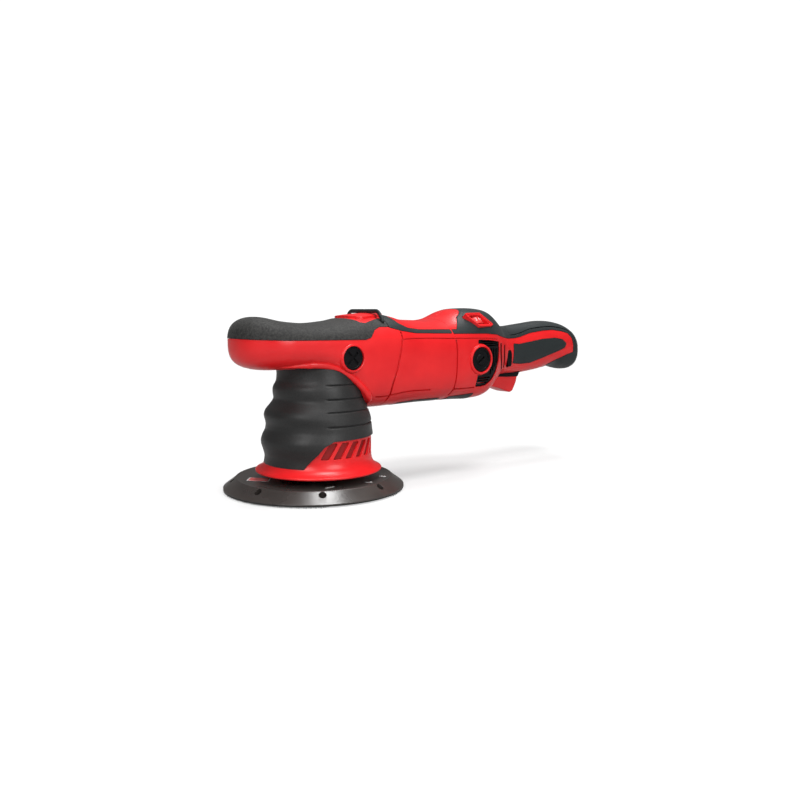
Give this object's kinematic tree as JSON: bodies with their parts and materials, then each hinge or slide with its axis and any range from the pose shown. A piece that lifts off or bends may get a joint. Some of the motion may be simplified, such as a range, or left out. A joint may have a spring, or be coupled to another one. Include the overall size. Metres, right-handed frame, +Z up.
{
  "type": "dual action polisher",
  "caption": "Long-throw dual action polisher: moulded housing with nose grip and tail handle, rubber boot, vented shroud and round hook-faced backing plate on an eccentric spindle.",
  "frame": {"origin": "spindle axis at the working face of the backing plate", "axes": "+X along the motor axis towards the tail of the handle, +Z up the spindle axis away from the work, -Y the side with the lock button and speed dial"},
  "size_m": [0.3819, 0.15, 0.149],
  "materials": {
    "red_shell": "satin moulded plastic",
    "soft_grip": "fine-textured soft overmoulding",
    "boot_rubber": "matt moulded rubber",
    "black_plastic": "matt black plastic",
    "dial_red": "satin red plastic with pale numbers",
    "fan_white": "plain nylon",
    "castings": "die cast",
    "bright_steel": "ground steel",
    "gear_steel": "blackened steel",
    "cast_weight": "cast",
    "laminations": "stacked laminations",
    "copper": "lacquered copper",
    "brass": "pressed brass",
    "carbon": "pressed carbon",
    "board_green": "lacquered circuit board",
    "plate_composite": "satin moulded composite",
    "hook_fabric": "hook-and-loop hooks"
  },
  "bodies": {
    "housing": {"head_cover": "red_shell", "nose_grip": "soft_grip", "top_bumper": "black_plastic", "motor_housing": "red_shell", "shoulder_trim": "soft_grip", "rear_housing_left": "red_shell", "rear_housing_right": "red_shell", "dial_surround": "soft_grip", "handle_grip": "soft_grip", "side_inlay_left": "soft_grip", "side_inlay_right": "soft_grip", "belly_trim": "soft_grip", "vent_grille_left": "black_plastic", "vent_grille_right": "black_plastic", "brush_cap_left": "black_plastic", "brush_cap_right": "black_plastic", "side_plug_left": "black_plastic", "side_plug_right": "black_plastic", "dial_bezel": "red_shell", "trigger_pin": "bright_steel", "trigger_spring": "bright_steel", "switch_module": "black_plastic", "speed_control_board": "board_green", "cord_inlet": "black_plastic", "rubber_boot": "boot_rubber", "vent_shroud": "red_shell", "gear_case": "castings", "spindle_carrier": "castings", "upper_spindle_bearing": "bright_steel", "lower_spindle_bearing": "bright_steel", "fan_baffle": "black_plastic", "field_stator": "laminations", "field_coils": "copper", "front_motor_bearing": "bright_steel", "rear_motor_bearing": "bright_steel", "brush_holders": "brass", "carbon_brushes": "carbon", "brush_springs": "bright_steel", "rear_bearing_frame": "black_plastic", "gear_case_screws": "bright_steel", "motor_screws": "bright_steel", "handle_screws": "bright_steel", "shroud_screws": "bright_steel"},
    "spindle_body": {"spindle": "bright_steel", "crown_gear": "gear_steel", "counterweight": "cast_weight", "pad_bearings": "bright_steel"},
    "pad": {"pad_spindle": "bright_steel", "backing_plate": "plate_composite", "hook_disc": "hook_fabric", "plate_bolt": "bright_steel"},
    "armature": {"armature_shaft": "bright_steel", "armature_core": "laminations", "armature_windings": "copper", "commutator": "copper", "cooling_fan": "fan_white"},
    "trigger_lever": {"trigger": "red_shell"},
    "plunger": {"switch_plunger": "black_plastic"},
    "lock": {"lock_button": "black_plastic"},
    "dial": {"speed_dial": "dial_red"}
  },
  "joints": [
    {"name": "spindle_spin", "type": "hinge", "parent": "housing", "child": "spindle_body", "pos_m": [0, 0, 0.08], "axis": [0, 0, 1], "continuous": true},
    {"name": "armature_spin", "type": "hinge", "parent": "housing", "child": "armature", "pos_m": [0.09, 0, 0.106], "axis": [1, 0, 0], "continuous": true},
    {"name": "pad_spin", "type": "hinge", "parent": "spindle_body", "child": "pad", "pos_m": [0, 0.0075, 0.03], "axis": [0, 0, 1], "continuous": true},
    {"name": "trigger_pull", "type": "hinge", "parent": "housing", "child": "trigger_lever", "pos_m": [0.189, 0, 0.09], "axis": [0, -1, 0], "range_deg": [0, 9], "stiffness_Nm_per_rad": 0.6, "springref_deg": -5.73},
    {"name": "switch_press", "type": "slide", "parent": "housing", "child": "plunger", "axis": [0, 0, 1], "range_m": [0, 0.0033], "deforming": ["trigger_spring"]},
    {"name": "lock_press", "type": "slide", "parent": "housing", "child": "lock", "axis": [0, 1, 0], "range_m": [0, 0.003], "stiffness_N_per_m": 300, "springref_m": -0.002},
    {"name": "dial_turn", "type": "hinge", "parent": "housing", "child": "dial", "pos_m": [0.14927, -0.02084, 0.13142], "axis": [-0.1418, 0.6671, 0.7314], "range_deg": [-140, 140]}
  ],
  "couplings": [
    {"joint": "armature_spin", "follows": "spindle_spin", "ratio": 3.6},
    {"joint": "switch_press", "follows": "trigger_pull", "m_per_rad": 0.0204}
  ]
}
